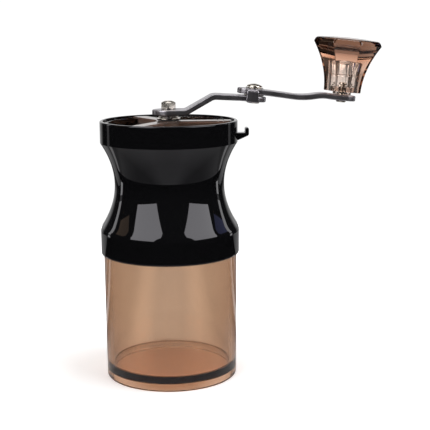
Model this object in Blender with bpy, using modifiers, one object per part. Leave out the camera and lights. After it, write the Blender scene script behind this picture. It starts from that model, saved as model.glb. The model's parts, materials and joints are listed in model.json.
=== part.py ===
"""Hand crank coffee grinder: screw-on clear jar, waisted body, conical burrs, folding crank, flared knob.

Metres, +Z up. The origin is on the table under the middle of the bounding box, with the folding crank out
straight along +X, so the spindle's axis stands at SPINDLE_X on the -X side of it.
"""

import math

import bmesh
import bpy
from mathutils import Matrix, Vector

MM = 0.001

# Driving dimensions
SPINDLE_X = -40.3 * MM
GAP = 0.3 * MM
RUNNING_GAP = 0.1 * MM
ARC_STEPS = 2
ROUND_STEPS = 36
SMALL_STEPS = 20

JAR_RADIUS, JAR_DRAFT = 37.95 * MM, 0.4 * MM
JAR_WALL = 3.8 * MM
FLOOR_LOW, FLOOR_HIGH = 3.9 * MM, 7.9 * MM
FOOT_WALL = 3.4 * MM
NECK_RADIUS = 35.9 * MM
NECK_BORE = 33.3 * MM
NECK_TOP = 85.0 * MM

SKIRT_RADIUS = 39.82 * MM
SKIRT_LOW, SKIRT_HIGH = 72.1 * MM, 87.1 * MM
SKIRT_BORE = 36.95 * MM
WAIST_RADIUS, WAIST_Z, WAIST_CURVE = 31.32 * MM, 112.2 * MM, 37.0 * MM
RIM_RADIUS = 39.1 * MM
RIM_LOW, RIM_HIGH = 136.2 * MM, 148.5 * MM
SHELL_WALL = 2.3 * MM
BULKHEAD_LOW, BULKHEAD_HIGH, BULKHEAD_BORE = 90.0 * MM, 92.4 * MM, 21.8 * MM

THREAD_PITCH, THREAD_TURNS = 5.0 * MM, 1.25
THREAD_DEPTH, THREAD_WIDTH = 0.75 * MM, 1.6 * MM
THREAD_START = 75.3 * MM

SPINDLE_RADIUS, SCREW_RADIUS = 3.0 * MM, 2.2 * MM
BURR_BOTTOM = 87.3 * MM
BURR_RING_RADIUS = 19.0 * MM
BURR_TEETH, CORE_RADIUS = 12, 6.0 * MM
DETENTS, DETENTS_AT = 8, 7.1 * MM
GRIPS, GRIPS_AT, GRIP_RADIUS = 6, 11.2 * MM, 3.2 * MM
CARRIER_RADIUS = 20.9 * MM
CLAMP_RADIUS, CLAMP_SCREWS_AT = 26.5 * MM, 23.6 * MM
SCREW_COUNT, SCREW_SHANK, SCREW_HEAD = 3, 1.15 * MM, 2.3 * MM
SPOKE_COUNT, SPOKE_TOP, SPOKE_WIDTH, SPOKE_THICK = 3, 148.2 * MM, 7.6 * MM, 1.3 * MM
HUB_FLANGE, HUB_RADIUS = 7.2 * MM, 6.3 * MM

ARM_TOP = 154.5 * MM
INNER_THICK, OUTER_THICK = 3.0 * MM, 3.1 * MM
INNER_DROP = 0.2 * MM
PAD_RADIUS, EYE_RADIUS, OUTER_HALF_WIDTH = 9.3 * MM, 7.0 * MM, 5.8 * MM
FOLD_AT, FOLD_TILT = Vector((48.27 * MM, 0, 160.36 * MM)), math.radians(5.5)
OUTER_LIFT = 3.9 * MM
TAB_WIDTH, TAB_THICK, TAB_SHIFT, TAB_BOTTOM = 6.6 * MM, 2.0 * MM, -1.3 * MM, -2.0 * MM
KNOB_AT, KNOB_TILT = Vector((98.75 * MM, 0, 163.8 * MM)), math.radians(6.0)
ARM_BELOW_KNOB = 3.45 * MM
KNOB_HEIGHT, KNOB_CROWN, KNOB_FOOT, KNOB_FLARE = 29.4 * MM, 1.0 * MM, 10.4 * MM, 8.4 * MM
KNOB_TURN = math.radians(-9.5)
KNOB_WELL_RADIUS, KNOB_WELL_DEPTH = 6.6 * MM, 19.0 * MM


def clear_scene():
    for thing in list(bpy.data.objects):
        bpy.data.objects.remove(thing, do_unlink=True)


def make_collection(name):
    collection = bpy.data.collections.new(name)
    bpy.context.scene.collection.children.link(collection)
    return collection


clear_scene()
PARTS = make_collection("coffee_grinder")
CUTTERS = make_collection("cutters")


def empty(name, place, tilt=0.0, parent=None):
    """A frame for a group of pieces; tilt leans its Z axis towards +X."""
    marker = bpy.data.objects.new(name, None)
    marker.location = place
    marker.rotation_euler = (0, tilt, 0)
    marker.parent = parent
    PARTS.objects.link(marker)
    return marker


AXIS = empty("spindle_axis", (SPINDLE_X, 0, 0))
FOLD = empty("fold_axis", FOLD_AT, FOLD_TILT, AXIS)
KNOB = empty("knob_axis", KNOB_AT, KNOB_TILT, AXIS)


def finish(name, color, roughness, metallic=0.0, clear=0.0):
    material = bpy.data.materials.new(name)
    material.use_nodes = True
    shader = material.node_tree.nodes["Principled BSDF"]
    shader.inputs["Base Color"].default_value = (*color, 1)
    shader.inputs["Roughness"].default_value = roughness
    shader.inputs["Metallic"].default_value = metallic
    shader.inputs["Transmission Weight"].default_value = clear
    material.diffuse_color = (*color, 1)
    return material


SMOKE = {"color": (0.42, 0.25, 0.16), "roughness": 0.05, "clear": 0.9}
BLACK = {"color": (0.012, 0.012, 0.014), "roughness": 0.12}
STEEL = {"color": (0.55, 0.55, 0.56), "roughness": 0.3, "metallic": 1.0}
BRIGHT = {"color": (0.75, 0.74, 0.72), "roughness": 0.15, "metallic": 1.0}
CERAMIC = {"color": (0.85, 0.84, 0.80), "roughness": 0.5}
NYLON = {"color": (0.05, 0.05, 0.055), "roughness": 0.45}
RUBBER = {"color": (0.3, 0.28, 0.27), "roughness": 0.7}


def place(name, mesh, look, parent=None, smooth=True):
    """Put a mesh in the scene as a part with its own material, or as a cutter when look is None."""
    thing = bpy.data.objects.new(name, mesh)
    thing.parent = parent or AXIS
    if look is None:
        CUTTERS.objects.link(thing)
        thing.hide_render = True
        thing.display_type = "WIRE"
    else:
        PARTS.objects.link(thing)
        mesh.materials.append(finish(name, **look))
    if smooth:
        mesh.shade_smooth()
    return thing


def softened(corners, closed=True):
    """Outline points from corners (x, z) or (x, z, radius); a radius rounds its corner with an arc."""
    points = []
    last = len(corners) - 1
    for index, corner in enumerate(corners):
        here = Vector(corner[:2])
        if len(corner) < 3 or (not closed and index in (0, last)):
            points.append(tuple(here))
            continue
        radius = corner[2]
        back = (Vector(corners[index - 1][:2]) - here).normalized()
        onward = (Vector(corners[(index + 1) % len(corners)][:2]) - here).normalized()
        half = back.angle(onward) / 2
        centre = here + (back + onward).normalized() * radius / math.sin(half)
        first = here + back * radius / math.tan(half) - centre
        final = here + onward * radius / math.tan(half) - centre
        start = math.atan2(first.y, first.x)
        sweep = math.remainder(math.atan2(final.y, final.x) - start, math.tau)
        for step in range(ARC_STEPS + 1):
            angle = start + sweep * step / ARC_STEPS
            points.append((centre.x + radius * math.cos(angle), centre.y + radius * math.sin(angle)))
    return points


def turned(name, corners, look, parent=None, steps=ROUND_STEPS, closed=True):
    """A round piece from its profile at +X, drawn clockwise: down the outer side, up the inner side."""
    shape = bmesh.new()
    points = [shape.verts.new((x, 0, z)) for x, z in softened(corners, closed)]
    for start, end in zip(points, points[1:]):
        shape.edges.new((start, end))
    if closed:
        shape.edges.new((points[-1], points[0]))
    mesh = bpy.data.meshes.new(name)
    shape.to_mesh(mesh)
    shape.free()
    thing = place(name, mesh, look, parent, smooth=False)
    screw = thing.modifiers.new("turn", "SCREW")
    screw.angle = math.tau
    screw.steps = screw.render_steps = steps
    screw.use_merge_vertices = True
    screw.merge_threshold = 0.00001
    return thing


def ring(name, inner, outer, low, high, look, parent=None, steps=SMALL_STEPS, edge=0.0):
    """A flat ring or tube with a small edge break."""
    corners = [(inner, high), (outer, high, edge), (outer, low, edge), (inner, low)]
    if not edge:
        corners = [corner[:2] for corner in corners]
    return turned(name, corners, look, parent, steps)


def drum(name, radius, low, high, at=(0, 0), look=None, parent=None, steps=SMALL_STEPS):
    """A plain cylinder from low to high."""
    shape = bmesh.new()
    bmesh.ops.create_cone(
        shape,
        cap_ends=True,
        segments=steps,
        radius1=radius,
        radius2=radius,
        depth=high - low,
        matrix=Matrix.Translation((at[0], at[1], (low + high) / 2)),
    )
    mesh = bpy.data.meshes.new(name)
    shape.to_mesh(mesh)
    shape.free()
    return place(name, mesh, look, parent)


def block(name, low, high, look=None, parent=None, turn=0.0):
    """A box between two corners, turned about the parent's Z axis."""
    low, high = Vector(low), Vector(high)
    size = Matrix.Diagonal((*(high - low), 1))
    shape = bmesh.new()
    spin = Matrix.Rotation(turn, 4, "Z")
    bmesh.ops.create_cube(shape, size=1, matrix=spin @ Matrix.Translation((low + high) / 2) @ size)
    mesh = bpy.data.meshes.new(name)
    shape.to_mesh(mesh)
    shape.free()
    return place(name, mesh, look, parent)


def slab(name, outline, thickness, look=None, parent=None, upright=False):
    """A flat outline given a thickness about its own plane: the XY plane, or the XZ plane when upright."""
    curve = bpy.data.curves.new(name, "CURVE")
    curve.dimensions = "2D"
    curve.fill_mode = "BOTH"
    curve.extrude = thickness / 2
    spline = curve.splines.new("POLY")
    spline.points.add(len(outline) - 1)
    for point, (x, y) in zip(spline.points, outline):
        point.co = (x, y, 0, 1)
    spline.use_cyclic_u = True
    drawn = bpy.data.objects.new(name + "_outline", curve)
    CUTTERS.objects.link(drawn)
    bpy.context.view_layer.update()
    mesh = bpy.data.meshes.new_from_object(drawn.evaluated_get(bpy.context.evaluated_depsgraph_get()))
    mesh.name = name
    shape = bmesh.new()
    shape.from_mesh(mesh)
    bmesh.ops.remove_doubles(shape, verts=shape.verts, dist=0.000001)
    if upright:
        bmesh.ops.rotate(shape, verts=shape.verts, matrix=Matrix.Rotation(math.pi / 2, 3, "X"))
    shape.to_mesh(mesh)
    shape.free()
    bpy.data.objects.remove(drawn, do_unlink=True)
    mesh.materials.clear()
    return place(name, mesh, look, parent)


def combine(thing, tool, how):
    change = thing.modifiers.new(tool.name, "BOOLEAN")
    change.operation = how
    change.solver = "EXACT"
    change.object = tool
    return thing


def cut(thing, *tools):
    for tool in tools:
        combine(thing, tool, "DIFFERENCE")
    return thing


def join(thing, *tools):
    for tool in tools:
        combine(thing, tool, "UNION")
    return thing


def around(count):
    return [math.tau * index / count for index in range(count)]


def thread(name, root, crest, start, look=None):
    """A helical ridge of the jar's thread, from its root radius to its crest radius."""
    half_root, half_crest = THREAD_WIDTH / 2, THREAD_WIDTH / 4
    section = [(root, -half_root), (crest, -half_crest), (crest, half_crest), (root, half_root)]
    shape = bmesh.new()
    corners = [shape.verts.new((x, 0, start + z)) for x, z in section]
    face = shape.faces.new(corners)
    steps = int(ROUND_STEPS * THREAD_TURNS)
    bmesh.ops.spin(
        shape,
        geom=[face, *face.edges, *face.verts],
        axis=(0, 0, 1),
        cent=(0, 0, 0),
        dvec=(0, 0, THREAD_PITCH / ROUND_STEPS),
        angle=math.tau * THREAD_TURNS,
        steps=steps,
    )
    bmesh.ops.holes_fill(shape, edges=[edge for edge in shape.edges if edge.is_boundary])
    bmesh.ops.recalc_face_normals(shape, faces=shape.faces)
    mesh = bpy.data.meshes.new(name)
    shape.to_mesh(mesh)
    shape.free()
    return place(name, mesh, look)


def make_jar():
    foot_bore = JAR_RADIUS - FOOT_WALL
    inside = JAR_RADIUS - JAR_WALL
    shoulder = SKIRT_LOW + 1.7 * MM
    jar = turned(
        "jar",
        [
            (NECK_BORE, NECK_TOP),
            (NECK_RADIUS, NECK_TOP),
            (NECK_RADIUS, shoulder),
            (JAR_RADIUS + JAR_DRAFT, shoulder),
            (JAR_RADIUS, 0, 0.6 * MM),
            (foot_bore, 0),
            (foot_bore, FLOOR_LOW, 1.0 * MM),
            (0, FLOOR_LOW),
            (0, FLOOR_HIGH),
            (inside, FLOOR_HIGH, 1.5 * MM),
            (inside + JAR_DRAFT, shoulder - 1.7 * MM),
            (NECK_BORE, shoulder + 0.6 * MM),
        ],
        SMOKE,
    )
    ridge_root = NECK_RADIUS - 0.4 * MM
    return join(jar, thread("jar_thread", ridge_root, NECK_RADIUS + THREAD_DEPTH, THREAD_START))


def waist(z, inset=0.0):
    """The body's radius at a height: one parabola from the skirt to the rim."""
    return WAIST_RADIUS + (z - WAIST_Z) ** 2 / (2 * WAIST_CURVE) - inset


def waist_run(low, high, count, inset=0.0):
    heights = [low + (high - low) * step / (count - 1) for step in range(count)]
    return [(waist(z, inset), z) for z in heights]


def make_shell():
    lip = 37.3 * MM
    step = SKIRT_RADIUS - 1.15 * MM
    outer = [(lip, RIM_HIGH), (RIM_RADIUS, RIM_HIGH, 0.8 * MM)]
    outer += waist_run(RIM_LOW, 89.0 * MM, 10)
    outer += [
        (SKIRT_RADIUS, SKIRT_HIGH - 0.4 * MM, 2.0 * MM),
        (SKIRT_RADIUS, SKIRT_LOW, 1.1 * MM),
        (step, SKIRT_LOW),
        (step, SKIRT_LOW + 2.0 * MM),
        (SKIRT_BORE, SKIRT_LOW + 2.0 * MM),
        (SKIRT_BORE, SKIRT_HIGH),
        (31.0 * MM, SKIRT_HIGH),
        (31.0 * MM, BULKHEAD_LOW),
        (BULKHEAD_BORE, BULKHEAD_LOW),
        (BULKHEAD_BORE, BULKHEAD_HIGH),
    ]
    inner = waist_run(BULKHEAD_HIGH, RIM_LOW + 0.6 * MM, 6, SHELL_WALL)
    shell = turned("body_shell", outer + inner + [(lip, RIM_LOW + 0.6 * MM)], BLACK)
    hook = [
        (37.9, 141.0),
        (43.4, 141.0, 0.3),
        (43.4, 143.9, 1.0),
        (45.5, 143.9, 1.0),
        (45.5, 139.6, 0.6),
        (39.4, 136.9),
        (37.9, 136.9),
    ]
    outline = softened([tuple(value * MM for value in corner) for corner in hook])
    female_crest = SKIRT_BORE - THREAD_DEPTH
    join(shell, slab("shell_hook", outline, 7.0 * MM, upright=True))
    female_start = THREAD_START + THREAD_PITCH / 2
    join(shell, thread("shell_thread", SKIRT_BORE + 0.4 * MM, female_crest, female_start))
    return cut(shell, *screw_holes("shell_screw", 89.0 * MM, 93.0 * MM))


def round_places(radius, count, start=0.0):
    """Points evenly round the spindle's axis."""
    return [(radius * math.cos(turn + start), radius * math.sin(turn + start)) for turn in around(count)]


def screw_holes(name, low, high):
    """Clearance holes for the three clamp screws."""
    radius = SCREW_SHANK + GAP
    spots = enumerate(round_places(CLAMP_SCREWS_AT, SCREW_COUNT), start=1)
    return [drum(f"{name}_{index}", radius, low, high, at=spot, steps=12) for index, spot in spots]


def make_hopper():
    """Ring, spokes and hub at the top, and the funnel that leads the beans to the burrs."""
    ring_low, ring_high = RIM_LOW + 0.9 * MM, 147.4 * MM
    hopper = turned(
        "hopper",
        [
            (34.4 * MM, ring_high, 0.4 * MM),
            (36.8 * MM, ring_high, 0.4 * MM),
            (36.8 * MM, ring_low),
            (35.0 * MM, ring_low),
            (27.6 * MM, 124.0 * MM),
            (22.6 * MM, 103.3 * MM),
            (20.9 * MM, 103.3 * MM),
            (25.8 * MM, 124.0 * MM),
            (34.4 * MM, 140.6 * MM),
        ],
        SMOKE,
    )
    hub_low = 139.5 * MM
    hub = turned(
        "hopper_hub",
        [
            (0, SPOKE_TOP),
            (HUB_FLANGE, SPOKE_TOP),
            (HUB_FLANGE, SPOKE_TOP - SPOKE_THICK),
            (HUB_RADIUS, SPOKE_TOP - SPOKE_THICK),
            (HUB_RADIUS, hub_low),
            (0, hub_low),
        ],
        None,
        steps=SMALL_STEPS,
        closed=False,
    )
    plate_top = SPOKE_TOP - 0.1 * MM
    rib_width, rib_depth = 2.4 * MM, 4.4 * MM
    for index, turn in enumerate(around(SPOKE_COUNT), start=1):
        low = (HUB_RADIUS - 1 * MM, -SPOKE_WIDTH / 2, plate_top - SPOKE_THICK)
        high = (35.6 * MM, SPOKE_WIDTH / 2, plate_top)
        rib_low = (HUB_RADIUS - 1 * MM, -rib_width / 2, plate_top - rib_depth)
        rib_high = (35.4 * MM, rib_width / 2, plate_top - 0.5 * MM)
        join(hub, block(f"hopper_spoke_{index}", low, high, turn=turn))
        join(hub, block(f"hopper_rib_{index}", rib_low, rib_high, turn=turn))
    join(hopper, hub)
    return cut(hopper, drum("hopper_bore", 4.4 * MM + GAP, hub_low - 1 * MM, SPOKE_TOP + 1 * MM))


def make_bearings():
    inside = SPINDLE_RADIUS + RUNNING_GAP
    turned(
        "upper_bush",
        [
            (inside, 148.9 * MM),
            (6.4 * MM, 148.9 * MM),
            (6.4 * MM, SPOKE_TOP + GAP),
            (4.4 * MM, SPOKE_TOP + GAP),
            (4.4 * MM, 140.2 * MM),
            (inside, 140.2 * MM),
        ],
        NYLON,
        steps=SMALL_STEPS,
    )
    ring("lower_bush", inside, 4.5 * MM, 105.0 * MM, 112.6 * MM, NYLON)


def make_carrier():
    """Cup that holds the ring burr, with the three-armed bridge of the lower bearing across its top."""
    cup = BURR_RING_RADIUS + GAP
    carrier = turned(
        "burr_carrier",
        [
            (14.5 * MM, 103.0 * MM),
            (CARRIER_RADIUS, 103.0 * MM),
            (CARRIER_RADIUS, BULKHEAD_LOW - GAP),
            (CLAMP_RADIUS, BULKHEAD_LOW - GAP),
            (CLAMP_RADIUS, BURR_BOTTOM),
            (cup, BURR_BOTTOM),
            (cup, 101.3 * MM),
            (14.5 * MM, 101.3 * MM),
        ],
        NYLON,
    )
    hub = drum("carrier_hub", 6.4 * MM, 104.4 * MM, 112.2 * MM)
    for index, turn in enumerate(around(SPOKE_COUNT), start=1):
        foot = block(
            f"carrier_foot_{index}",
            (15.4 * MM, -1.9 * MM, 102.0 * MM),
            (17.4 * MM, 1.9 * MM, 107.4 * MM),
            turn=turn,
        )
        arm = block(
            f"carrier_arm_{index}",
            (5.2 * MM, -1.6 * MM, 104.9 * MM),
            (17.0 * MM, 1.6 * MM, 107.9 * MM),
            turn=turn,
        )
        join(hub, arm, foot)
    join(carrier, hub)
    cut(carrier, drum("carrier_bore", 4.5 * MM + GAP, 104 * MM, 113 * MM))
    return cut(carrier, *screw_holes("carrier_screw", 87 * MM, 90 * MM))


def toothed(name, sections, depth, look, inward=False):
    """A drum with V teeth round it, lofted through (radius, height) sections along a triangle wave."""
    shape = bmesh.new()
    rows = []
    points = BURR_TEETH * 4
    for radius, z in sections:
        row = []
        for index in range(points):
            wave = abs((index * BURR_TEETH / points) % 1 - 0.5) * 2
            reach = radius + depth * wave if inward else radius - depth * wave
            angle = math.tau * index / points
            row.append(shape.verts.new((reach * math.cos(angle), reach * math.sin(angle), z)))
        rows.append(row)
    for row in rows:
        for start, end in zip(row, row[1:] + row[:1]):
            shape.edges.new((start, end))
    bmesh.ops.bridge_loops(shape, edges=shape.edges[:])
    for row in (rows[0], rows[-1]):
        shape.faces.new(row)
    bmesh.ops.recalc_face_normals(shape, faces=shape.faces)
    mesh = bpy.data.meshes.new(name)
    shape.to_mesh(mesh)
    shape.free()
    return place(name, mesh, look, smooth=False)


def make_burrs():
    cone_sections = [(15.8 * MM, 86.2 * MM), (14.9 * MM, 88.4 * MM), (9.4 * MM, 101.2 * MM)]
    cone = toothed("inner_burr", cone_sections, 1.1 * MM, CERAMIC)
    cut(cone, drum("cone_bore", CORE_RADIUS + GAP, 85 * MM, 103 * MM))
    low, high = BURR_BOTTOM + GAP, 101.0 * MM
    outer = ring("outer_burr", 5 * MM, BURR_RING_RADIUS, low, high, CERAMIC, steps=ROUND_STEPS)
    bore_sections = [
        (16.9 * MM, 86 * MM),
        (15.7 * MM, 88.9 * MM),
        (10.2 * MM, 101.6 * MM),
        (9.6 * MM, 103 * MM),
    ]
    cut(outer, toothed("ring_bore", bore_sections, 1.3 * MM, None, inward=True))


def make_grind_setting():
    """Driver, spring, click plate and finger nut that carry the cone burr on the spindle."""
    core = turned(
        "burr_core",
        [
            (5.1 * MM, 102.4 * MM),
            (CORE_RADIUS, 102.4 * MM),
            (CORE_RADIUS, 85.9 * MM),
            (9.0 * MM, 85.9 * MM),
            (9.0 * MM, 84.4 * MM),
            (2.0 * MM, 84.4 * MM),
            (2.0 * MM, 94.0 * MM),
            (5.1 * MM, 94.0 * MM),
        ],
        NYLON,
        steps=SMALL_STEPS,
    )
    half = 2.6 * MM
    cut(core, block("core_square", (-half, -half, 84 * MM), (half, half, 94.6 * MM)))
    plate = ring("detent_plate", 3.3 * MM, 8.6 * MM, 82.8 * MM, 84.1 * MM, BRIGHT)
    for index, spot in enumerate(round_places(DETENTS_AT, DETENTS, start=0.1), start=1):
        cut(plate, drum(f"detent_{index}", 0.65 * MM, 82 * MM, 85 * MM, at=spot, steps=8))
    nut = ring("adjust_nut", SCREW_RADIUS + GAP, 9.4 * MM, 76.4 * MM, 82.5 * MM, NYLON, edge=0.6 * MM)
    for index, spot in enumerate(round_places(GRIPS_AT, GRIPS), start=1):
        cut(nut, drum(f"nut_grip_{index}", GRIP_RADIUS, 75 * MM, 84 * MM, at=spot, steps=16))
    make_spring()
    ring("spring_seat", 3.3 * MM, 5.6 * MM, 103.5 * MM, 104.1 * MM, BRIGHT)


def make_spring():
    coil, wire, low, high, turns = 4.15 * MM, 0.4 * MM, 94.3 * MM, 103.2 * MM, 5
    curve = bpy.data.curves.new("burr_spring", "CURVE")
    curve.dimensions = "3D"
    curve.bevel_depth = wire
    curve.bevel_resolution = 0
    curve.use_fill_caps = True
    per_turn = 12
    count = per_turn * turns + 1
    spline = curve.splines.new("POLY")
    spline.points.add(count - 1)
    for index, point in enumerate(spline.points):
        angle = math.tau * index / per_turn
        rise = (high - low - 2 * wire) * index / (count - 1)
        point.co = (coil * math.cos(angle), coil * math.sin(angle), low + wire + rise, 1)
    curve.materials.append(finish("burr_spring", **BRIGHT))
    spring = bpy.data.objects.new("burr_spring", curve)
    spring.parent = AXIS
    PARTS.objects.link(spring)


def make_clamp():
    low, high = 84.9 * MM, 87.0 * MM
    retainer = ring("burr_retainer", 17.6 * MM, CLAMP_RADIUS, low, high, STEEL, steps=ROUND_STEPS)
    cut(retainer, *screw_holes("retainer_hole", 84 * MM, 88 * MM))
    for index, spot in enumerate(round_places(CLAMP_SCREWS_AT, SCREW_COUNT), start=1):
        frame = empty(f"screw_axis_{index}", (*spot, 0), parent=AXIS)
        screw = turned(
            f"retainer_screw_{index}",
            [
                (0, 92.0 * MM),
                (SCREW_SHANK, 92.0 * MM),
                (SCREW_SHANK, 84.6 * MM),
                (SCREW_HEAD, 84.6 * MM),
                (SCREW_HEAD, 83.2 * MM, 0.5 * MM),
                (0, 83.2 * MM),
            ],
            BRIGHT,
            parent=frame,
            steps=12,
            closed=False,
        )
        for name, x, y in (("a", 1.5 * MM, 0.3 * MM), ("b", 0.3 * MM, 1.5 * MM)):
            low, high = (-x, -y, 82.9 * MM), (x, y, 83.9 * MM)
            cut(screw, block(f"screw_slot_{index}_{name}", low, high, parent=frame))


def make_spindle():
    spindle = turned(
        "spindle",
        [
            (0, 158.2 * MM),
            (SCREW_RADIUS, 158.2 * MM, 0.4 * MM),
            (SCREW_RADIUS, 154.3 * MM),
            (SPINDLE_RADIUS, 154.3 * MM),
            (SPINDLE_RADIUS, 88.0 * MM),
            (SCREW_RADIUS, 86.0 * MM),
            (SCREW_RADIUS, 75.2 * MM, 0.4 * MM),
            (0, 75.2 * MM),
        ],
        STEEL,
        steps=24,
        closed=False,
    )
    flat, square, reach = 2.4 * MM, 2.3 * MM, 4 * MM
    groove = ring("clip_groove", 2.3 * MM, 4 * MM, 149.65 * MM, 150.75 * MM, None)
    groove.rotation_euler = (0, 0, 0.1)
    cut(spindle, groove)
    for side in (-1, 1):
        edges = sorted((side * flat, side * reach))
        low, high = (-reach, edges[0], 151.2 * MM), (reach, edges[1], 155.6 * MM)
        cut(spindle, block(f"arm_flat_{side}", low, high))
        edges = sorted((side * square, side * reach))
        across_x = (edges[0], -reach, 87.0 * MM), (edges[1], reach, 96.5 * MM)
        across_y = (-reach, edges[0], 86.9 * MM), (reach, edges[1], 96.6 * MM)
        cut(spindle, block(f"burr_flat_x{side}", *across_x), block(f"burr_flat_y{side}", *across_y))


def make_hub_hardware():
    ring("hub_washer", 3.4 * MM, 6.9 * MM, 149.2 * MM, 149.6 * MM, BRIGHT)
    clip = ring("spindle_clip", 2.6 * MM, 5.6 * MM, 149.9 * MM, 150.5 * MM, BRIGHT)
    cut(clip, block("clip_mouth", (-1.9 * MM, -8 * MM, 149 * MM), (1.9 * MM, 0, 151 * MM)))
    cut(clip, drum("clip_throat", 2.6 * MM, 149 * MM, 151 * MM))
    ring("arm_collar", SPINDLE_RADIUS + RUNNING_GAP, 5.2 * MM, 150.8 * MM, 151.2 * MM, NYLON)
    top = ARM_TOP + GAP
    ring("nut_washer", SCREW_RADIUS + GAP, 4.3 * MM, top, top + 0.4 * MM, BRIGHT)
    low, high = top + 0.4 * MM + GAP, 159.4 * MM
    corner = 4.0 * MM / math.cos(math.pi / 6)
    bore = (SCREW_RADIUS + GAP) / math.cos(math.pi / 6)
    nut = turned(
        "cap_nut",
        [
            (0, high),
            (2.9 * MM, high, 0.9 * MM),
            (corner, high - 1.5 * MM, 0.6 * MM),
            (corner, low, 0.2 * MM),
            (bore, low),
            (bore, 158.2 * MM + GAP),
            (0, 158.2 * MM + GAP),
        ],
        BRIGHT,
        steps=6,
        closed=False,
    )
    nut.rotation_euler = (0, 0, math.pi / 2)


def ribbon(line, thickness):
    """The side view of a bent bar: its middle line, thickened both ways."""
    path = [Vector(point) for point in softened(line, closed=False)]
    upper, lower = [], []
    for index, point in enumerate(path):
        ahead = path[min(index + 1, len(path) - 1)] - path[max(index - 1, 0)]
        across = Vector((-ahead.y, ahead.x)).normalized() * thickness / 2
        upper.append(tuple(point + across))
        lower.append(tuple(point - across))
    return upper + lower[::-1]


def long_plan(left, left_radius, right, right_radius, steps=12):
    """The top view of a bar with round ends, centred at left and right on the X axis."""
    quarter = math.pi / 2
    outline = []
    for centre, radius, start in ((left, left_radius, quarter), (right, right_radius, -quarter)):
        for step in range(steps + 1):
            angle = start + math.pi * step / steps
            outline.append((centre + radius * math.cos(angle), radius * math.sin(angle)))
    return outline


def along(origin, tilt, distance, lift=0.0):
    """A point in the side view, measured along and above a plane tilted down towards +X."""
    x = origin.x + distance * math.cos(tilt) + lift * math.sin(tilt)
    return x, origin.z - distance * math.sin(tilt) + lift * math.cos(tilt)


def bar(name, line, thickness, plan):
    """A flat bar bent along a line in side view and trimmed to its plan outline."""
    body = slab(name, ribbon(line, thickness), 30 * MM, STEEL, upright=True)
    trim = slab(f"{name}_plan", plan, 60 * MM)
    trim.location = (0, 0, FOLD_AT.z)
    return combine(body, trim, "INTERSECT")


def make_inner_arm():
    pad = ARM_TOP - INNER_THICK / 2
    line = [
        (-12 * MM, pad),
        (9.6 * MM, pad, 4.0 * MM),
        (25.2 * MM, 161.75 * MM, 5.0 * MM),
        (*along(FOLD_AT, FOLD_TILT, -7.3 * MM, -INNER_DROP), 30 * MM),
        along(FOLD_AT, FOLD_TILT, 9 * MM, -INNER_DROP),
    ]
    arm = bar("inner_arm", line, INNER_THICK, long_plan(0, PAD_RADIUS, FOLD_AT.x, EYE_RADIUS))
    drive = drum("arm_drive", SPINDLE_RADIUS + GAP, ARM_TOP - 5 * MM, ARM_TOP + 2 * MM)
    flat = 2.4 * MM + GAP
    keep = block("arm_drive_flats", (-5 * MM, -flat, ARM_TOP - 6 * MM), (5 * MM, flat, ARM_TOP + 3 * MM))
    combine(drive, keep, "INTERSECT")
    return cut(arm, drive, drum("inner_pivot_hole", 2.2 * MM + GAP, -4 * MM, 4 * MM, parent=FOLD))


def make_outer_arm():
    """Upper link, with the stop tab bent down over the front edge of the lower link."""
    hinge_x, hinge_z = along(FOLD_AT, FOLD_TILT, 0, OUTER_LIFT)
    hinge = Vector((hinge_x, 0, hinge_z))
    line = [
        along(hinge, FOLD_TILT, -12 * MM),
        (*along(hinge, FOLD_TILT, 5.6 * MM), 20 * MM),
        (76.0 * MM, 160.5 * MM, 16 * MM),
        (*along(KNOB_AT, KNOB_TILT, -11.0 * MM, 0.45 * MM - ARM_BELOW_KNOB), 8 * MM),
        (*along(KNOB_AT, KNOB_TILT, -6.5 * MM, -ARM_BELOW_KNOB), 6 * MM),
        along(KNOB_AT, KNOB_TILT, 10 * MM, -ARM_BELOW_KNOB),
    ]
    left = hinge.x - 9.6 * MM + OUTER_HALF_WIDTH
    right = 106.4 * MM - OUTER_HALF_WIDTH
    arm = bar("outer_arm", line, OUTER_THICK, long_plan(left, OUTER_HALF_WIDTH, right, OUTER_HALF_WIDTH))
    top = OUTER_LIFT + OUTER_THICK / 2
    inner_face = EYE_RADIUS + GAP + 0.05 * MM
    outer_face = inner_face + TAB_THICK
    bend = [
        (1 * MM, top - 0.3 * MM),
        (outer_face, top - 0.3 * MM, 1.6 * MM),
        (outer_face, TAB_BOTTOM, 0.6 * MM),
        (inner_face, TAB_BOTTOM),
        (inner_face, top - 0.3 * MM - TAB_THICK),
        (1 * MM, top - 0.3 * MM - TAB_THICK),
    ]
    tab = slab("stop_tab", softened(bend), TAB_WIDTH, parent=FOLD, upright=True)
    tab.location = (TAB_SHIFT, 0, 0)
    tab.rotation_euler = (0, 0, -math.pi / 2)
    join(arm, tab)
    pivot = drum("outer_pivot_hole", 2.2 * MM + GAP, 1 * MM, 8 * MM, parent=FOLD)
    return cut(arm, pivot, drum("knob_pin_hole", 2.0 * MM + GAP, -7 * MM, 0, parent=KNOB))


def make_fold():
    head = 6.5 * MM
    foot = -INNER_DROP - INNER_THICK / 2 - GAP
    turned(
        "fold_rivet",
        [
            (0, head + 1.9 * MM),
            (2.6 * MM, head + 1.6 * MM, 2.0 * MM),
            (4.45 * MM, head + 0.5 * MM),
            (4.45 * MM, head),
            (2.2 * MM, head),
            (2.2 * MM, foot),
            (3.6 * MM, foot),
            (3.3 * MM, foot - 0.8 * MM, 0.4 * MM),
            (0, foot - 0.8 * MM),
        ],
        BRIGHT,
        parent=FOLD,
        steps=SMALL_STEPS,
        closed=False,
    )
    ring("fold_spacer", 2.5 * MM, 5.6 * MM, 1.6 * MM, 2.05 * MM, BRIGHT, parent=FOLD)
    ring("fold_washer", 2.5 * MM, 5.0 * MM, 5.75 * MM, 6.2 * MM, BRIGHT, parent=FOLD)


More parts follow.
